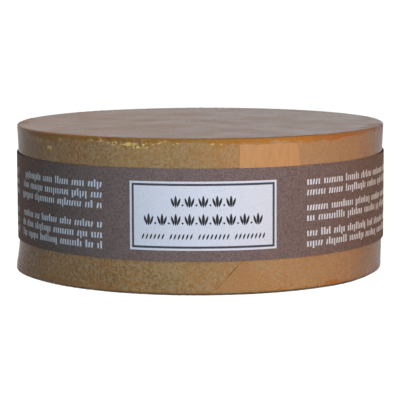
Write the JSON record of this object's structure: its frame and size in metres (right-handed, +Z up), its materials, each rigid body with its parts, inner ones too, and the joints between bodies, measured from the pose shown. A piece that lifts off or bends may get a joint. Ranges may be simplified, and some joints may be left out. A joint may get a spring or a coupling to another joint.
{
  "type": "shaving soap puck",
  "caption": "Round cake of hard shaving soap in clear shrink film, with a printed paper band that slides off over the top.",
  "frame": {"origin": "centre of the film-covered base, on the plane that the cake stands on", "axes": "+Z up along the cake's axis, through its flat top; -Y towards the middle of the band's printed panel; +Y towards the band's glued overlap; +X to the right as the panel is read"},
  "size_m": [0.0802, 0.0804, 0.0314],
  "materials": {
    "soap": "satin",
    "film": "gloss",
    "band_paper": "matte",
    "dried_glue": "satin"
  },
  "bodies": {
    "cake": {"soap_cake": "soap", "film_wrap": "film"},
    "band": {"paper_band": "band_paper", "band_glue": "dried_glue"}
  },
  "joints": [
    {"name": "band_slide", "type": "slide", "parent": "cake", "child": "band", "axis": [0, 0, 1], "range_m": [0, 0.03]}
  ]
}
